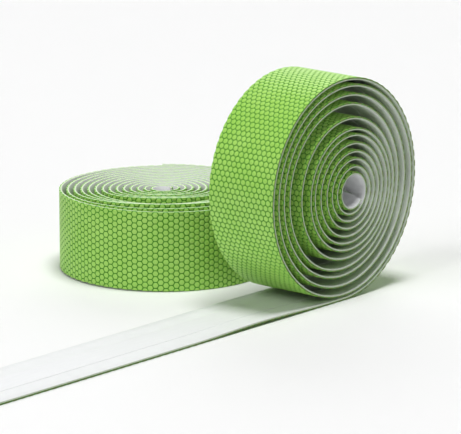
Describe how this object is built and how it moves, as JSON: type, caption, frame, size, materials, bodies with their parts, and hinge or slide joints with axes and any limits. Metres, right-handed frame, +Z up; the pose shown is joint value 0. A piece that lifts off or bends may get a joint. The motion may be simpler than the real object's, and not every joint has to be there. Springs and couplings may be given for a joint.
{
  "type": "grip tape roll",
  "caption": "Bar grip tape wound in spiral rolls: one stands on edge with its tail lying out, one lies flat. Embossed outer skin, foam backing, adhesive strip and release liner.",
  "frame": {"origin": "on the surface that both rolls rest on, under the middle of the tape's width, where the tail leaves the standing roll", "axes": "+Z up; the tail runs out along -X; the standing roll's axis is along Y, with the flat roll on its +Y side"},
  "size_m": [0.2419, 0.1234, 0.0829],
  "materials": {
    "skin": "embossed all over with small raised hexagon cells, satin",
    "foam": "soft closed-cell foam backing, matt, nearly white",
    "adhesive": "thin tacky strip, clear to cream",
    "liner": "release liner, smooth white with a slight gloss"
  },
  "bodies": {
    "standing_coil": {"coil_skin": "skin", "coil_foam": "foam", "coil_adhesive": "adhesive", "coil_liner": "liner"},
    "tail": {"tail_skin": "skin", "tail_foam": "foam", "tail_adhesive": "adhesive", "tail_liner": "liner"},
    "liner_tab": {"liner_tab": "liner"},
    "flat_roll": {"flat_skin": "skin", "flat_foam": "foam", "flat_adhesive": "adhesive", "flat_liner": "liner"},
    "flat_end": {"flat_end_skin": "skin", "flat_end_foam": "foam", "flat_end_adhesive": "adhesive", "flat_end_liner": "liner"}
  },
  "joints": [
    {"name": "tail_lift", "type": "hinge", "parent": "standing_coil", "child": "tail", "pos_m": [-0.07, 0, 0.0012], "axis": [0, 1, 0], "range_deg": [0, 70]},
    {"name": "liner_peel", "type": "hinge", "parent": "tail", "child": "liner_tab", "pos_m": [-0.165, 0, 0.0012], "axis": [0, 1, 0], "range_deg": [0, 150]},
    {"name": "flat_roll_lift", "type": "slide", "parent": "standing_coil", "child": "flat_roll", "axis": [0, 0, 1], "range_m": [0, 0.08]},
    {"name": "flat_end_open", "type": "hinge", "parent": "flat_roll", "child": "flat_end", "pos_m": [0.03281, 0.05102, 0.015], "axis": [0, 0, -1], "range_deg": [0, 35]}
  ]
}
